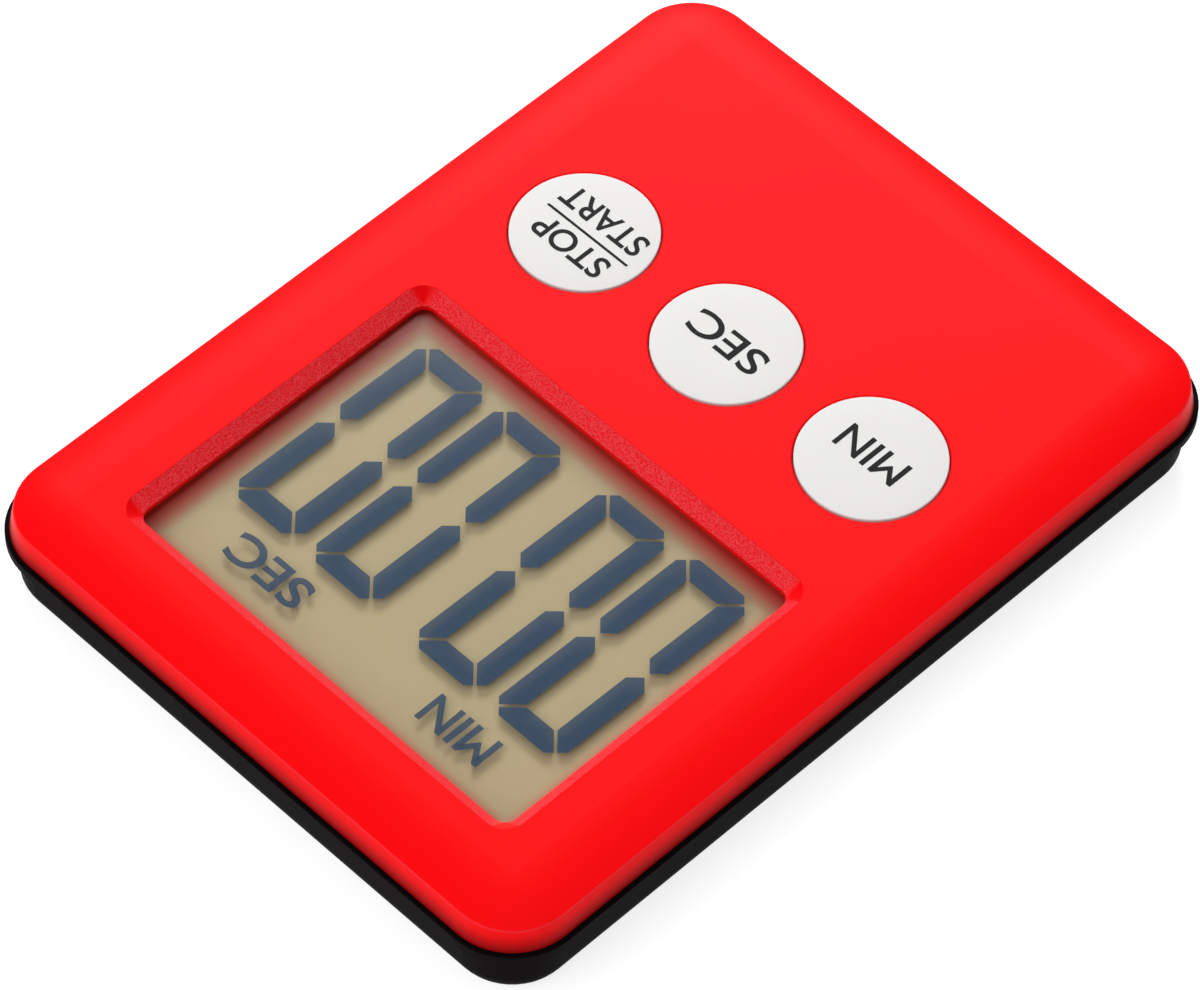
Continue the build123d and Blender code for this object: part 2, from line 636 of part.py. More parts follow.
with BuildPart() as button_cell:
    # Can with a crimped shoulder, and the smaller cap standing out of it on the side of the face
    cap_radius = 4.9
    shoulder_height = 4.4
    crimp_height = 4.8
    with BuildSketch(cell_plane):
        with BuildLine():
            Polyline((0, 0), (cell_radius, 0), (cell_radius, shoulder_height),
                     (cap_radius + 0.45, crimp_height), (cap_radius, crimp_height),
                     (cap_radius, cell_height), (0, cell_height), (0, 0))
        make_face()
    revolve(axis=cell_axis)
    round_edges = button_cell.edges().filter_by(GeomType.CIRCLE).sort_by(Axis.Z)
    fillet([round_edges[0], round_edges[-1]], 0.35)
button_cell.part.label = "button_cell"
export_step(button_cell.part, "parts/button_cell.step")

with BuildPart() as battery_negative_contact:
    # Leaf spring: foot on the board, arm over the cell that presses on its cap
    foot_z = board_top_z + contact_thickness / 2
    touch_z = cell_top_z + contact_thickness / 2 + 0.01
    with BuildSketch(Plane.YZ.offset(cell_centre[0])):
        with BuildLine():
            FilletPolyline((-36.6, foot_z), (-34.5, foot_z), (-33.6, 7.4), (cell_centre[1], touch_z),
                           (-25.6, 7.35), radius=0.4)
        trace(line_width=contact_thickness)
    extrude(amount=leaf_width / 2, both=True)
battery_negative_contact.part.label = "battery_negative_contact"
export_step(battery_negative_contact.part, "parts/battery_negative_contact.step")

with BuildPart() as battery_positive_contact:
    # Hairpin leaf on the board that bears on the side of the can
    touch_x = cell_centre[0] + cell_radius + contact_thickness / 2 + 0.02
    with BuildSketch(Plane.XZ.offset(-cell_centre[1])):
        with BuildLine():
            FilletPolyline((22.9, foot_z), (20.15, foot_z), (19.8, 7.0), (touch_x, 5.6), radius=0.2)
        trace(line_width=contact_thickness)
    extrude(amount=side_leaf_width / 2, both=True)
battery_positive_contact.part.label = "battery_positive_contact"
export_step(battery_positive_contact.part, "parts/battery_positive_contact.step")

with BuildPart() as battery_door:
    # Flush disc with a coin slot; a raised ring inside carries two bayonet lugs under the case floor
    posts([cell_centre], door_flange_z[0], door_flange_z[1], door_radius)
    chamfer(battery_door.edges().sort_by(Axis.Z)[0], 0.15)
    posts([cell_centre], door_flange_z[1], lug_z[1], door_boss_radius)
    with BuildSketch(Plane.XY.offset(lug_z[0])):
        with Locations(cell_centre):
            Rectangle(2 * lug_radius, lug_width)
            Circle(lug_radius, mode=Mode.INTERSECT)
    extrude(amount=lug_z[1] - lug_z[0])
    posts([cell_centre], door_top_z, lug_z[1], cell_radius + 0.3, Mode.SUBTRACT)
    with BuildSketch(Plane.XY.offset(door_flange_z[0])):
        with Locations(cell_centre):
            SlotOverall(coin_slot[0], coin_slot[1], rotation=coin_slot_angle)
    extrude(amount=coin_slot[2], mode=Mode.SUBTRACT)
battery_door.part.label = "battery_door"
export_step(battery_door.part, "parts/battery_door.step")

# --- Stand, magnets and screws ----------------------------------------------------------------
with BuildPart() as stand:
    stand_length = stand_tip_y - stand_pivot_y
    stand_centre_y = (stand_tip_y + stand_pivot_y) / 2
    with BuildSketch(Plane.XY.offset(stand_z)):
        with Locations((0, stand_centre_y)):
            Rectangle(stand_width, stand_length)
        fillet(vertices().group_by(Axis.Y)[-1], 4)
    extrude(amount=stand_thickness)
    with BuildSketch(Plane.XY.offset(stand_z + stand_thickness)):
        with Locations((0, stand_centre_y + 1)):
            RectangleRounded(stand_width - 6, stand_length - 8, 2)
    extrude(amount=-0.4, mode=Mode.SUBTRACT)
    # Hinge barrel across the lower edge, with a moulded pivot at each end
    with BuildSketch(Plane.YZ.offset(-stand_width / 2)):
        with Locations((stand_pivot_y, pivot_z)):
            Circle(barrel_radius)
    extrude(amount=stand_width)
    with BuildSketch(Plane.YZ.offset(-stand_width / 2 - pivot_length)):
        with Locations((stand_pivot_y, pivot_z)):
            Circle(pivot_radius)
    extrude(amount=stand_width + 2 * pivot_length)
stand.part.label = "stand"
export_step(stand.part, "parts/stand.step")

with BuildPart() as magnets:
    posts(magnet_points, magnet_pocket_depth - magnet_thickness, magnet_pocket_depth, magnet_radius)
    chamfer(magnets.edges().filter_by(GeomType.CIRCLE), 0.2)
magnets.part.label = "magnets"
export_step(magnets.part, "parts/magnets.step")

for name, points, seat_z, head, shank in (
    ("case_screws", case_screw_points, head_recess_depth, case_screw_head, case_screw_shank),
    ("board_screws", board_screw_points, board_bottom_z, board_screw_head, board_screw_shank),
):
    with BuildPart() as screws:
        # Pan heads with a cross recess, shanks pointing up into the front cover's bosses
        posts(points, seat_z - head[1], seat_z, head[0])
        fillet(screws.edges().group_by(Axis.Z)[0], head[1] * 0.4)
        posts(points, seat_z, seat_z + shank[1], shank[0])
        chamfer(screws.edges().group_by(Axis.Z)[-1], shank[0] * 0.5)
        with BuildSketch(Plane.XY.offset(seat_z - head[1])):
            with Locations(*points):
                Rectangle(head[0] * 1.2, head[0] * 0.26)
                Rectangle(head[0] * 0.26, head[0] * 1.2)
        extrude(amount=head[1] * 0.55, mode=Mode.SUBTRACT)
    screws.part.label = name
    export_step(screws.part, f"parts/{name}.step")
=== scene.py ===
"""Looks of a slim kitchen timer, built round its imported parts.

Lengths are in metres; MM turns millimetres into them.
"""
import math
import bpy
from mathutils import Matrix, Vector


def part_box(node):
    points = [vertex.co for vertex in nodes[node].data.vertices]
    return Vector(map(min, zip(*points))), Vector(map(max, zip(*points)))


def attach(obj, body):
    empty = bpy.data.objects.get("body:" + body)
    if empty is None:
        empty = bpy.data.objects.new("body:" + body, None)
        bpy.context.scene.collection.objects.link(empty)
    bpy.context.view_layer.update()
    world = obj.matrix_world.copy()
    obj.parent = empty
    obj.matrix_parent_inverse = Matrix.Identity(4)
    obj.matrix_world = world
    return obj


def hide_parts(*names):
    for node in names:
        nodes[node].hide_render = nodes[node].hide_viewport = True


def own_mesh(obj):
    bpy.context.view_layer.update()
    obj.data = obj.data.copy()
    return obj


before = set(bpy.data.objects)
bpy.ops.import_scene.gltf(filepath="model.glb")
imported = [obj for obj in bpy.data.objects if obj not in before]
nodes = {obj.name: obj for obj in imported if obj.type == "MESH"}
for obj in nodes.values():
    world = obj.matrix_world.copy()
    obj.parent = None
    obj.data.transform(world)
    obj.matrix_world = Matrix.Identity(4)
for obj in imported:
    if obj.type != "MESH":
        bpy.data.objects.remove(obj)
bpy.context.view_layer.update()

MM = 0.001
KEYS = ("minute", "second", "start_stop")


def middle(node):
    """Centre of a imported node's box."""
    low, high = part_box(node)
    return (low + high) / 2


face_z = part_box("front_cover")[1].z
crease_z = face_z - 0.7 * MM     # where the rolled border of the face meets the side wall
cover_low_edge = 6.6 * MM        # lower edge of the side wall
front_glass_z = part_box("lcd_front_glass")[0].z
rear_glass_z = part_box("lcd_rear_glass")[1].z
cell_z = (front_glass_z + rear_glass_z) / 2
window_y = 15.95 * MM            # middle of the display window
clear_half_width = 20.95 * MM    # of the window's upright opening
clear_half_length = 15.8 * MM
bevel_half_width = 22.4 * MM     # of the zone that holds the window's sloping bevel
bevel_half_length = 17.25 * MM
bevel_depth = 1.1 * MM
veil_thickness = 0.06 * MM       # of the switched-on crystal's bars
key_axis_rise = 7.7 * MM         # from the low edge of a button's box to the button's axis


# --- Finishes: a small language for node materials ---------------------------------------------
class Signal:
    """An output of a node, with the arithmetic that a finish needs."""

    def __init__(self, finish, socket):
        self.finish = finish
        self.socket = socket

    def sum_of(self, operation, first, second=0.0):
        return self.finish.node("ShaderNodeMath", {"operation": operation}, {0: first, 1: second})

    def __add__(self, other):
        return self.sum_of("ADD", self, other)

    def __sub__(self, other):
        return self.sum_of("SUBTRACT", self, other)

    def __rsub__(self, other):
        return self.sum_of("SUBTRACT", other, self)

    def __mul__(self, other):
        return self.sum_of("MULTIPLY", self, other)

    def __gt__(self, other):
        return self.sum_of("GREATER_THAN", self, other)

    def __lt__(self, other):
        return self.sum_of("LESS_THAN", self, other)

    def __abs__(self):
        return self.sum_of("ABSOLUTE", self)

    __radd__ = __add__
    __rmul__ = __mul__


class Finish:
    """A node material under construction."""

    def __init__(self, name):
        self.material = bpy.data.materials.new(name)
        self.material.use_nodes = True
        self.tree = self.material.node_tree
        self.tree.nodes.clear()

    def node(self, kind, settings=None, inputs=None, output=0):
        """Add a node: its settings first, then the values or links of its sockets. Returns one output."""
        made = self.tree.nodes.new(kind)
        for name, value in (settings or {}).items():
            setattr(made, name, value)
        for name, value in (inputs or {}).items():
            if isinstance(value, Signal):
                self.tree.links.new(value.socket, made.inputs[name])
            else:
                made.inputs[name].default_value = value
        return Signal(self, made.outputs[output]) if len(made.outputs) else None

    def place(self):
        """Position on the piece, in metres, in the object's own frame."""
        return self.node("ShaderNodeTexCoord", output="Object")

    def axes(self):
        """The three coordinates of a point."""
        split = self.node("ShaderNodeSeparateXYZ", None, {0: self.place()})
        return [Signal(self, output) for output in split.socket.node.outputs]

    def grain(self, size, detail=2.0, stretch=(1.0, 1.0, 1.0)):
        """Cloudy noise from 0 to 1 whose lumps are about size across."""
        spread = self.node("ShaderNodeMapping", {"vector_type": "POINT"},
                           {"Vector": self.place(), "Scale": stretch})
        return self.node("ShaderNodeTexNoise", None,
                         {"Vector": spread, "Scale": 1 / size, "Detail": detail}, "Fac")

    def blend(self, share, first, second):
        """A colour between two others."""
        return self.node("ShaderNodeMix", {"data_type": "RGBA"}, {0: share, 6: first, 7: second}, 2)

    def ramp(self, value, low, high):
        """Eases from 0 where value is low to 1 where it is high."""
        return self.node("ShaderNodeMapRange", {"interpolation_type": "SMOOTHSTEP"},
                         {"Value": value, "From Min": low, "From Max": high})

    def lesser_of(self, first, second):
        return self.node("ShaderNodeMath", {"operation": "MINIMUM"}, {0: first, 1: second})

    def greater_of(self, first, second):
        return self.node("ShaderNodeMath", {"operation": "MAXIMUM"}, {0: first, 1: second})

    def relief(self, height, depth):
        """A normal raised by height, where 1 stands for depth."""
        return self.node("ShaderNodeBump", None, {"Height": height, "Distance": depth, "Strength": 1.0})

    def surface(self, **inputs):
        """The main surface shader."""
        sockets = {name.replace("_", " "): value for name, value in inputs.items()}
        return self.node("ShaderNodeBsdfPrincipled", None, sockets)

    def done(self, shader):
        self.node("ShaderNodeOutputMaterial", None, {0: shader})
        return self.material


def rgb(red, green, blue):
    """A screen colour, 0 to 255, as the linear colour that shaders take."""
    linear = []
    for value in (red, green, blue):
        share = value / 255
        linear.append(share / 12.92 if share <= 0.04045 else ((share + 0.055) / 1.055) ** 2.4)
    return (*linear, 1.0)


def moulded_plastic(name, colour, shade, roughness,
                    grain_size=0.25 * MM, grain_depth=0.002 * MM, gloss=0.5):
    """Injection-moulded plastic: cloudy colour, a fine grain, and patches rubbed a little smoother."""
    f = Finish(name)
    fine = f.grain(grain_size, 3.0)
    rubbed = f.grain(14 * MM, 2.0)
    return f.done(f.surface(
        Base_Color=f.blend(rubbed, colour, shade),
        Roughness=roughness + (rubbed - 0.5) * 0.08 + (fine - 0.5) * 0.06,
        Normal=f.relief(fine, grain_depth),
        Specular_IOR_Level=gloss,
    ))


def red_cover_plastic():
    """Satin red shell. Its side wall has painted shade that darkens it towards its lower edge, and a painted
    highlight runs along the crease. The window's sloping bevel has a grain, with painted sparkle on its pale
    peaks, that stops short of its smooth corners.
    """
    f = Finish("red_cover_plastic")
    x, y, z = f.axes()
    across = abs(x)
    along = abs(y - window_y)
    in_plan = (across < bevel_half_width) * (along < bevel_half_length)
    near_window = in_plan * (z < face_z - 0.03 * MM) * (z > face_z - bevel_depth)
    corner = f.ramp(across, 20.2 * MM, 20.9 * MM) * f.ramp(along, 15.0 * MM, 15.7 * MM)
    bevel = near_window * (1 - corner)
    coarse = f.grain(0.14 * MM, 2.0)
    fine = f.grain(0.12 * MM, 2.0)
    cloud = f.grain(18 * MM, 1.0)
    skin = f.blend(cloud, rgb(250, 6, 13), rgb(247, 4, 11))
    outside = f.greater_of(across - 25 * MM, abs(y) - 34.5 * MM) > 0
    # Painted shade: the side wall's red darkens towards its lower edge, standing in for the shade that falls
    # there.
    painted_skirt_shade = outside * f.ramp(z, face_z - 0.95 * MM, cover_low_edge)
    skirt = f.blend(painted_skirt_shade, skin, rgb(150, 2, 5))
    # Painted highlight: a thin pale red line along the crease stands in for the light that the rounded edge
    # catches.
    crease_highlight = outside * (z < crease_z + 0.02 * MM) * (z > crease_z - 0.13 * MM)
    shell = f.blend(crease_highlight, skirt, rgb(255, 40, 46))
    # The bevel's grain is real relief; the pale red of its peaks is painted sparkle, standing in for the
    # glints that light makes on the grain.
    peaks = f.ramp(coarse, 0.35, 0.65)
    grain_and_sparkle = f.blend(peaks, rgb(253, 20, 30), rgb(255, 72, 80))
    return f.done(f.surface(
        Base_Color=f.blend(bevel, shell, grain_and_sparkle),
        Roughness=0.36 + bevel * 0.1 - near_window * corner * 0.22 + (cloud - 0.5) * 0.05,
        Normal=f.relief(bevel * coarse + (1 - bevel) * fine * 0.02, 0.12 * MM),
        Specular_IOR_Level=0.04,
    ))


def metal(name, colour, shade, roughness, stretch=(1.0, 1.0, 1.0), scratch=0.2 * MM):
    """Metal with rolled or drawn streaks and dull patches."""
    f = Finish(name)
    streak = f.grain(scratch, 3.0, stretch)
    patch = f.grain(3 * MM, 2.0)
    return f.done(f.surface(
        Base_Color=f.blend(patch, colour, shade),
        Metallic=1.0,
        Roughness=roughness + (patch - 0.5) * 0.12 + (streak - 0.5) * 0.1,
        Normal=f.relief(streak, 0.002 * MM),
    ))


def rubber(name, colour, shade, roughness=0.6):
    """Soft rubber with a dusty bloom."""
    f = Finish(name)
    bloom = f.grain(1.2 * MM, 3.0)
    return f.done(f.surface(
        Base_Color=f.blend(bloom, colour, shade),
        Roughness=roughness + (bloom - 0.5) * 0.15,
        Normal=f.relief(f.grain(0.1 * MM), 0.003 * MM),
    ))


def clear_layer(name, tint, shine, haze):
    """A thin clear layer: mostly see-through, with a share of gloss that grows towards grazing."""
    f = Finish(name)
    smear = f.grain(6 * MM, 2.0)
    through = f.node("ShaderNodeBsdfTransparent", None, {"Color": tint})
    gloss = f.node("ShaderNodeBsdfGlossy", None, {"Color": (1, 1, 1, 1), "Roughness": haze + smear * 0.04})
    edge = f.node("ShaderNodeFresnel", None, {"IOR": 1.45})
    return f.done(f.node("ShaderNodeMixShader", None, {0: edge * shine, 1: through, 2: gloss}))


def mirror_film():
    """Matt tan film behind the display, mottled, and with painted red brown shade and painted red bounce light
    near its edges, where the cover's lip overhangs it.
    """
    f = Finish("reflector_film")
    x, y, z = f.axes()
    mottle = f.grain(0.6 * MM, 2.0)
    from_side = clear_half_width - abs(x)
    from_end = clear_half_length - abs(y - window_y)
    # Painted shade and painted red bounce light: the film turns red brown towards the window's edges, under
    # the cover's lip.
    lip_shade_paint = f.ramp(f.lesser_of(from_side, from_end), -0.4 * MM, 2.0 * MM)
    film = f.blend(mottle, rgb(204, 181, 150), rgb(198, 175, 145))
    return f.done(f.surface(
        Base_Color=f.blend(lip_shade_paint, rgb(228, 52, 40), film),
        Roughness=0.75 + (mottle - 0.5) * 0.1,
        Normal=f.relief(mottle, 0.002 * MM),
    ))


def display_dark():
    """Switched-on crystal: a clear bar whose upper face alone is tinted, nearly opaque, slate blue."""
    f = Finish("display_dark")
    cloud = f.grain(5 * MM, 1.0)
    z = f.axes()[2]
    upper_face = z > cell_z + veil_thickness * 0.3
    tint = f.surface(
        Base_Color=f.blend(cloud, rgb(46, 72, 116), rgb(52, 82, 108)),
        Roughness=0.7 + (cloud - 0.5) * 0.1,
        Specular_IOR_Level=0.1,
    )
    through = f.node("ShaderNodeBsdfTransparent", None, {"Color": (1, 1, 1, 1)})
    cover = upper_face * (0.86 + cloud * 0.06)
    return f.done(f.node("ShaderNodeMixShader", None, {0: cover, 1: through, 2: tint}))


def print_ink():
    """Pad-printed black ink."""
    f = Finish("print_ink")
    speck = f.grain(0.15 * MM, 2.0)
    return f.done(f.surface(
        Base_Color=f.blend(speck, rgb(10, 9, 10), rgb(20, 18, 19)),
        Roughness=0.5 + (speck - 0.5) * 0.2,
        Normal=f.relief(speck, 0.002 * MM),
        Specular_IOR_Level=0.1,
    ))


def board_laminate():
    """Green solder mask with raised copper tracks in a lattice, over glass cloth."""
    f = Finish("board_laminate")
    weave = f.grain(0.4 * MM, 2.0)
    tracks = f.node("ShaderNodeTexBrick", {"offset": 0.5},
                    {"Vector": f.place(), "Scale": 1.0, "Mortar Size": 0.25 * MM, "Brick Width": 4.2 * MM,
                     "Row Height": 1.6 * MM}, "Fac")
    return f.done(f.surface(
        Base_Color=f.blend(tracks, rgb(10, 74, 38), rgb(24, 108, 58)),
        Roughness=0.3 + (weave - 0.5) * 0.1,
        Normal=f.relief(tracks + weave * 0.15, 0.02 * MM),
    ))


def layered_rubber():
    """Connector strip: thin dark and clear layers across its length."""
    f = Finish("connector_rubber")
    layers = f.node("ShaderNodeTexWave", {"wave_type": "BANDS", "bands_direction": "X"},
                    {"Vector": f.place(), "Scale": 1 / (1.6 * MM), "Distortion": 0.0}, "Fac")
    return f.done(f.surface(
        Base_Color=f.blend(layers > 0.5, rgb(212, 150, 150), rgb(36, 34, 36)),
        Roughness=0.55 + f.grain(0.5 * MM) * 0.1,
    ))


def sintered(name, colour, shade, roughness):
    """Sintered ceramic or ferrite: speckled and slightly pitted."""
    f = Finish(name)
    speck = f.grain(0.18 * MM, 4.0)
    return f.done(f.surface(
        Base_Color=f.blend(speck, colour, shade),
        Roughness=roughness + (speck - 0.5) * 0.2,
        Normal=f.relief(speck, 0.01 * MM),
    ))


# --- Modelling by hand --------------------------------------------------------------------------
def put_down():
    """Back to object mode with nothing selected."""
    if bpy.context.object and bpy.context.object.mode != "OBJECT":
        bpy.ops.object.mode_set(mode="OBJECT")
    bpy.ops.object.select_all(action="DESELECT")


def named(name, finish):
    """Name the piece just added and give it its finish."""
    piece = bpy.context.object
    piece.name = name
    piece.data.name = name
    piece.data.materials.clear()
    piece.data.materials.append(finish)
    return piece


def edit(piece, mode="FACE"):
    """Open a piece in edit mode with nothing picked."""
    put_down()
    piece.select_set(True)
    bpy.context.view_layer.objects.active = piece
    bpy.ops.object.mode_set(mode="EDIT")
    bpy.ops.mesh.select_mode(type=mode)
    bpy.ops.mesh.select_all(action="DESELECT")


def pick(piece, kind, test):
    """Pick the polygons, edges or vertices of the edited piece that pass a test, and nothing else."""
    bpy.ops.mesh.select_all(action="DESELECT")
    bpy.ops.object.mode_set(mode="OBJECT")
    for element in getattr(piece.data, kind):
        element.select = test(element)
    bpy.ops.object.mode_set(mode="EDIT")


def settle(piece, smooth_below=35):
    """Apply the piece's place, so that its object stands at the origin, and shade its soft edges smooth."""
    put_down()
    piece.select_set(True)
    bpy.context.view_layer.objects.active = piece
    bpy.ops.object.transform_apply(location=True, rotation=True, scale=True)
    bpy.ops.object.shade_smooth_by_angle(angle=math.radians(smooth_below))
    put_down()
    return piece


def bar(low, high, cuts, finish):
    """A thin bar from corner low to corner high, with its ends cut away along upright planes."""
    size = Vector(high) - Vector(low)
    put_down()
    bpy.ops.mesh.primitive_cube_add(size=1, location=(Vector(low) + Vector(high)) / 2, scale=size)
    piece = named("bar", finish)
    settle(piece)
    edit(piece)
    for point, normal in cuts:
        bpy.ops.mesh.select_all(action="SELECT")
        bpy.ops.mesh.bisect(plane_co=(*point, 0), plane_no=(*normal, 0), use_fill=True, clear_outer=True)
    put_down()
    return piece


def joined(pieces, name):
    """Join pieces into one."""
    put_down()
    for piece in pieces:
        piece.select_set(True)
    bpy.context.view_layer.objects.active = pieces[0]
    bpy.ops.object.join()
    whole = bpy.context.object
    whole.name = name
    whole.data.name = name
    return settle(whole)


def copied(piece, name, shift):
    """A copy with its own mesh, set beside the first."""
    twin = piece.copy()
    twin.data = piece.data.copy()
    twin.name = name
    twin.data.name = name
    bpy.context.collection.objects.link(twin)
    twin.data.transform(Matrix.Translation(shift))
    return twin


def turned(name, axis, profile, finish, sides=96):
    """A turned piece: rings of the profile, (radius, height) pairs, drawn up in turn about an upright axis."""
    radius, height = profile[0]
    put_down()
    bpy.ops.mesh.primitive_circle_add(vertices=sides, radius=radius, fill_type="NGON",
                                      location=(axis.x, axis.y, height))
    piece = named(name, finish)
    settle(piece)
    edit(piece)
    bpy.ops.mesh.select_all(action="SELECT")
    for new_radius, new_height in profile[1:]:
        bpy.ops.mesh.extrude_region_move(TRANSFORM_OT_translate={"value": (0, 0, new_height - height)})
        if new_radius != radius:
            grow = new_radius / radius
            bpy.ops.transform.resize(value=(grow, grow, 1), center_override=(axis.x, axis.y, new_height))
        radius, height = new_radius, new_height
    bpy.ops.mesh.select_all(action="SELECT")
    bpy.ops.mesh.normals_make_consistent(inside=False)
    put_down()
    return settle(piece)


def lettering(name, words, centre, width, height, thickness, weight, finish):
    """Lettering that fills a box of the given width and height, its strokes fattened by weight.

    The centre is that of the lettering's underside.
    """
    put_down()
    bpy.ops.object.text_add()
    text = bpy.context.object
    text.data.body = words
    text.data.size = height
    text.data.resolution_u = 6
    text.data.extrude = thickness / 2
    bpy.ops.object.convert(target="MESH")
    piece = named(name, finish)
    edit(piece, "VERT")
    bpy.ops.mesh.select_all(action="SELECT")
    bpy.ops.mesh.remove_doubles(threshold=0.001 * MM)
    bpy.ops.mesh.normals_make_consistent(inside=False)
    bpy.ops.transform.shrink_fatten(value=weight, use_even_offset=True)
    put_down()
    places = [vertex.co for vertex in piece.data.vertices]
    low = Vector([min(place[axis] for place in places) for axis in range(3)])
    high = Vector([max(place[axis] for place in places) for axis in range(3)])
    grow = Vector((width / (high.x - low.x), height / (high.y - low.y), thickness / (high.z - low.z)))
    piece.scale = grow
    piece.location = Vector(centre) - Vector(((low.x + high.x) / 2, (low.y + high.y) / 2, low.z)) * grow
    settle(piece)
    edit(piece, "VERT")
    half_height = centre[2] + thickness / 2
    for side in (-1, 1):
        pick(piece, "vertices", lambda vertex: (vertex.co.z - half_height) * side > 0)
        level = (centre[0], centre[1], half_height + side * thickness / 2)
        bpy.ops.transform.resize(value=(1, 1, 0), center_override=level)
    bpy.ops.mesh.select_all(action="SELECT")
    bpy.ops.mesh.normals_make_consistent(inside=False)
    put_down()
    return settle(piece)


# --- Finishes in use ----------------------------------------------------------------------------
black = moulded_plastic("black_case_plastic", rgb(12, 8, 9), rgb(15, 11, 12), 0.5,
                        grain_size=0.3 * MM, grain_depth=0.004 * MM, gloss=0.015)
white = moulded_plastic("white_button_plastic", rgb(226, 225, 223), rgb(223, 222, 221), 0.4,
                        grain_size=0.4 * MM, grain_depth=0.001 * MM, gloss=0.12)
silicone = rubber("silicone_rubber", rgb(206, 210, 208), rgb(192, 198, 196))
carbon = rubber("carbon_rubber", rgb(30, 30, 30), rgb(42, 42, 42))
strip_steel = metal("contact_steel", rgb(205, 203, 196), rgb(186, 184, 178), 0.28, (1, 0.1, 1))
clear_glass = clear_layer("display_glass", (0.995, 1.0, 0.99, 1.0), 0.0, 0.02)
ink = print_ink()
dark = display_dark()
node_finishes = {
    red_cover_plastic(): ["front_cover"],
    black: ["rear_cover", "stand", "battery_door"],
    white: ["minute_button", "second_button", "start_stop_button"],
    silicone: [f"{key}_key_dome" for key in KEYS],
    carbon: [f"{key}_carbon_pill" for key in KEYS],
    clear_layer("polariser_film", (0.97, 0.98, 0.96, 1.0), 0.3, 0.1): ["lcd_front_polariser"],
    clear_glass: ["lcd_front_glass", "lcd_rear_glass"],
    moulded_plastic("seal_epoxy", rgb(196, 190, 170), rgb(180, 174, 156), 0.4): ["lcd_seal"],
    mirror_film(): ["lcd_rear_reflector"],
    moulded_plastic("frame_plastic", rgb(226, 226, 222), rgb(214, 214, 210), 0.5): ["lcd_frame"],
    layered_rubber(): ["zebra_connector"],
    board_laminate(): ["circuit_board"],
    metal("carbon_pads", rgb(214, 176, 92), rgb(196, 158, 80), 0.3): ["key_contact_pads"],
    moulded_plastic("chip_resin", rgb(22, 22, 22), rgb(30, 30, 30), 0.2,
                    grain_size=0.8 * MM, grain_depth=0.006 * MM): ["chip_resin"],
    metal("can_steel", rgb(196, 196, 194), rgb(176, 176, 174), 0.25, (1, 0.1, 1)): ["crystal_can"],
    sintered("capacitor_ceramic", rgb(176, 142, 108), rgb(158, 126, 94), 0.5): ["smd_capacitors"],
    sintered("resistor_ceramic", rgb(40, 40, 42), rgb(54, 54, 56), 0.4): ["smd_resistors"],
    metal("buzzer_brass", rgb(220, 184, 104), rgb(204, 166, 88), 0.3, (0.15, 1, 1)): ["buzzer_brass_disc"],
    sintered("buzzer_ceramic", rgb(226, 222, 214), rgb(212, 208, 198), 0.35): ["buzzer_ceramic_disc"],
    moulded_plastic("lead_red_pvc", rgb(196, 24, 26), rgb(180, 20, 22), 0.4): ["buzzer_lead_red"],
    moulded_plastic("lead_black_pvc", rgb(26, 26, 26), rgb(34, 34, 34), 0.4): ["buzzer_lead_black"],
    metal("solder", rgb(206, 206, 208), rgb(184, 184, 188), 0.22): ["lead_solder"],
    metal("cell_steel", rgb(214, 214, 210), rgb(198, 198, 194), 0.22, (1, 0.15, 1)): ["button_cell"],
    strip_steel: ["battery_positive_contact", "battery_negative_contact"],
    sintered("magnet_ferrite", rgb(60, 60, 62), rgb(76, 76, 78), 0.55): ["magnets"],
    metal("screw_steel", rgb(176, 176, 178), rgb(150, 150, 154), 0.3): ["case_screws", "board_screws"],
}
for finish, names in node_finishes.items():
    for name in names:
        for slot in nodes[name].material_slots:
            slot.material = finish

# --- Display: four zeros and two words in the gap between the glasses -----------------------------
digit_width = 7.6 * MM
digit_height = 22.0 * MM
stroke = 2.08 * MM
bar_gap = 0.27 * MM
corner_cut = 1.3 * MM
digit_y = 13.0 * MM
digit_xs = {"minutes_tens": -14.9, "minutes_ones": -5.9, "seconds_tens": 5.9, "seconds_ones": 14.9}
slant = 0.0114
diagonal = math.sqrt(0.5)


def zero(name):
    """A seven-segment zero about the origin.

    Its bars are mitred, with clipped outer corners, and pointed where the middle bar is off.
    """
    half_w = digit_width / 2
    half_h = digit_height / 2
    low_z = cell_z - veil_thickness / 2
    high_z = cell_z + veil_thickness / 2
    inset = bar_gap / 2 * diagonal
    bars = []
    for up in (-1, 1):
        y_edges = sorted((up * half_h, up * (half_h - stroke)))
        cuts = []
        for side in (-1, 1):
            mitre = (side * (half_w - inset), up * (half_h + inset))
            clip = (side * (half_w - corner_cut), up * half_h)
            cuts.append((mitre, (side * diagonal, -up * diagonal)))
            cuts.append((clip, (side * diagonal, up * diagonal)))
        bars.append(bar((-half_w, y_edges[0], low_z), (half_w, y_edges[1], high_z), cuts, dark))
        for side in (-1, 1):
            x_edges = sorted((side * half_w, side * (half_w - stroke)))
            y_edges_upright = sorted((up * bar_gap, up * half_h))
            tip = (side * (half_w - stroke / 2), up * bar_gap)
            cuts = [
                ((side * (half_w + inset), up * (half_h - inset)), (-side * diagonal, up * diagonal)),
                ((side * half_w, up * (half_h - corner_cut)), (side * diagonal, up * diagonal)),
                (tip, (diagonal, -up * diagonal)),
                (tip, (-diagonal, -up * diagonal)),
            ]
            bars.append(bar((x_edges[0], y_edges_upright[0], low_z),
                            (x_edges[1], y_edges_upright[1], high_z), cuts, dark))
    whole = joined(bars, name)
    whole.data.transform(Matrix(((1, slant, 0, 0), (0, 1, 0, 0), (0, 0, 1, 0), (0, 0, 0, 1))))
    return whole


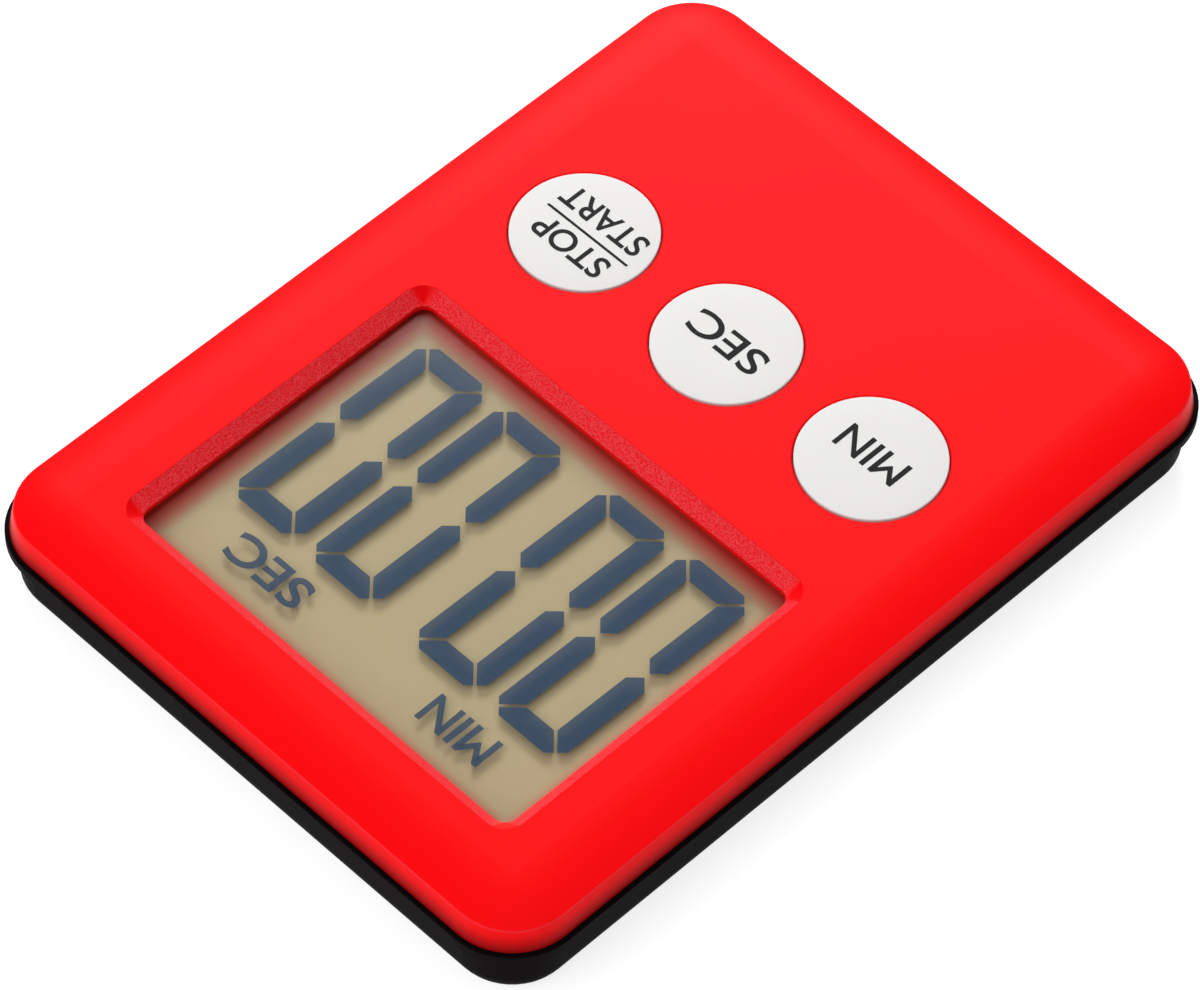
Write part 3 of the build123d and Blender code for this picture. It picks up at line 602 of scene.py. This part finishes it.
pattern = zero("display_zero_pattern")
for place, x in digit_xs.items():
    digit = copied(pattern, f"display_{place}", (x * MM, digit_y, 0))
    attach(digit, "case")
bpy.data.objects.remove(pattern)

word_y = 27.25 * MM
word_height = 3.1 * MM
word_weight = 0.07 * MM
words_shown = (("display_word_minutes", "MIN", -11.15, 6.9), ("display_word_seconds", "SEC", 10.5, 8.2))
for name, words, x, width in words_shown:
    spot = (x * MM, word_y, cell_z - veil_thickness / 2)
    word = lettering(name, words, spot, width * MM, word_height, veil_thickness, word_weight, dark)
    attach(word, "case")

# --- Keys: caps with a soft rim and a slight crown, and their printing ----------------------------
key_radius = 6.25 * MM
rim_round = 0.1 * MM
print_thickness = 0.012 * MM
print_weight = 0.035 * MM
stem_radius = 2.2 * MM
socket_radius = 5.2 * MM
flange_radius = 7.0 * MM
for key in KEYS:
    low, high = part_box(f"{key}_button")
    axis = middle(f"{key}_button")
    axis.y = low.y + key_axis_rise
    top = high.z - print_thickness - 0.002 * MM
    rim_z = top - 0.02 * MM
    rim = [(key_radius - rim_round * (1 - math.sin(turn)), rim_z - rim_round * (1 - math.cos(turn)))
           for turn in [math.radians(step * 15) for step in range(6, -1, -1)]]
    ceiling_z = low.z + 0.95 * MM
    flange_low_z = low.z + 0.3 * MM
    flange_high_z = low.z + 0.93 * MM
    profile = [
        (stem_radius, low.z), (stem_radius, ceiling_z),
        (socket_radius, ceiling_z), (socket_radius, flange_low_z),
        (flange_radius, flange_low_z), (flange_radius, flange_high_z), (key_radius, flange_high_z),
        *rim, (3.2 * MM, top - 0.004 * MM), (0.4 * MM, top),
    ]
    cap = turned(f"{key}_keycap", axis, profile, white)
    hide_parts(f"{key}_button")
    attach(cap, f"{key}_button")

legends = {
    "minute": [("minute_legend", "MIN", (0.17, -0.25), 6.45, 2.7)],
    "second": [("second_legend", "SEC", (0.03, -0.15), 7.55, 2.7)],
    "start_stop": [("stop_legend", "STOP", (-0.3, 1.95), 7.6, 2.3),
                   ("start_legend", "START", (-0.3, -1.95), 8.8, 2.3)],
}
for key, rows in legends.items():
    low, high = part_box(f"{key}_button")
    centre = middle(f"{key}_button")
    centre.y = low.y + key_axis_rise
    for name, words, (dx, dy), width, height in rows:
        spot = (centre.x + dx * MM, centre.y + dy * MM, high.z - print_thickness)
        legend = lettering(name, words, spot, width * MM, height * MM, print_thickness, print_weight, ink)
        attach(legend, f"{key}_button")
low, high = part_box("start_stop_button")
centre = middle("start_stop_button")
line_low = (centre.x - 5.0 * MM, low.y + 7.68 * MM, high.z - print_thickness)
line_high = (centre.x + 4.2 * MM, low.y + 7.92 * MM, high.z)
clipped_ends = [((line_low[0] + 0.05 * MM, line_low[1]), (-diagonal, -diagonal)),
                ((line_high[0] - 0.05 * MM, line_low[1]), (diagonal, -diagonal))]
line = bar(line_low, line_high, clipped_ends, ink)
line.name = "stop_start_line"
line.data.name = "stop_start_line"
settle(line)
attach(line, "start_stop_button")

# --- Rubber keys: foot, thin sloping skirt and plunger --------------------------------------------
for key in KEYS:
    low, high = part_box(f"{key}_key_dome")
    axis = middle(f"{key}_key_dome")
    foot_z = low.z
    inside = [(1.9, 0.98), (1.9, 1.1), (3.5, 0.35), (3.6, 0.0)]
    foot = [(4.55, 0.0), (4.6, 0.05), (4.6, 0.45), (4.55, 0.5), (3.95, 0.5)]
    skirt = [(3.8, 0.56), (2.4, 1.34), (2.28, 1.45)]
    plunger = [(2.12, 1.94), (2.06, 2.0), (1.0, 2.0), (0.4, 1.96)]
    profile = [(r * MM, foot_z + h * MM) for r, h in inside + foot + skirt + plunger]
    dome = turned(f"{key}_rubber_key", axis, profile, silicone, sides=64)
    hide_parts(f"{key}_key_dome")
    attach(dome, "case")
    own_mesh(dome)

# --- Camera, light and floor -----------------------------------------------------------------------
camera_data = bpy.data.cameras.new("camera")
camera = bpy.data.objects.new("camera", camera_data)
bpy.context.collection.objects.link(camera)
camera_data.sensor_width = 36
camera_data.lens = 214.96
camera_data.clip_start = 0.01
camera_data.clip_end = 10
right = Vector((-0.7031, -0.7110, 0.0131))
up = Vector((0.5701, -0.5525, 0.6080))
back = Vector((-0.4250, 0.4350, 0.7938))
aim = Matrix((right, up, back)).transposed()
camera.matrix_world = Matrix.Translation((-0.2458, 0.2522, 0.4529 + 0.0089)) @ aim.to_4x4()
bpy.context.scene.camera = camera


def soft_light(name, place, size, watts):
    """A square softbox that looks at the middle of the floor."""
    data = bpy.data.lights.new(name, "AREA")
    data.size = size
    data.energy = watts
    lamp = bpy.data.objects.new(name, data)
    bpy.context.collection.objects.link(lamp)
    lamp.location = place
    lamp.rotation_mode = "QUATERNION"
    lamp.rotation_quaternion = (-Vector(place)).to_track_quat("-Z", "Y")


soft_light("key_softbox", (0.53, -0.53, 0.585), size=0.4, watts=6.1)
soft_light("side_softbox", (0.2, 0.95, 0.85), size=0.9, watts=6.2)
soft_light("overhead_softbox", (0, 0, 1.0), size=0.6, watts=1.2)

world = bpy.data.worlds.new("studio")
world.use_nodes = True
sky = world.node_tree.nodes["Background"]
sky.inputs["Color"].default_value = (1, 1, 1, 1)
sky.inputs["Strength"].default_value = 0.36
bpy.context.scene.world = world
bpy.context.scene.view_settings.view_transform = "Standard"
bpy.context.scene.cycles.transparent_max_bounces = 24

put_down()
bpy.ops.mesh.primitive_plane_add(size=6, location=(0, 0, 0))
pale = Finish("pale_floor")
floor = named("floor", pale.done(pale.surface(
    Base_Color=(0.42, 0.42, 0.42, 1), Roughness=0.9, Specular_IOR_Level=0.0,
    Emission_Color=(1, 1, 1, 1), Emission_Strength=0.8,
)))
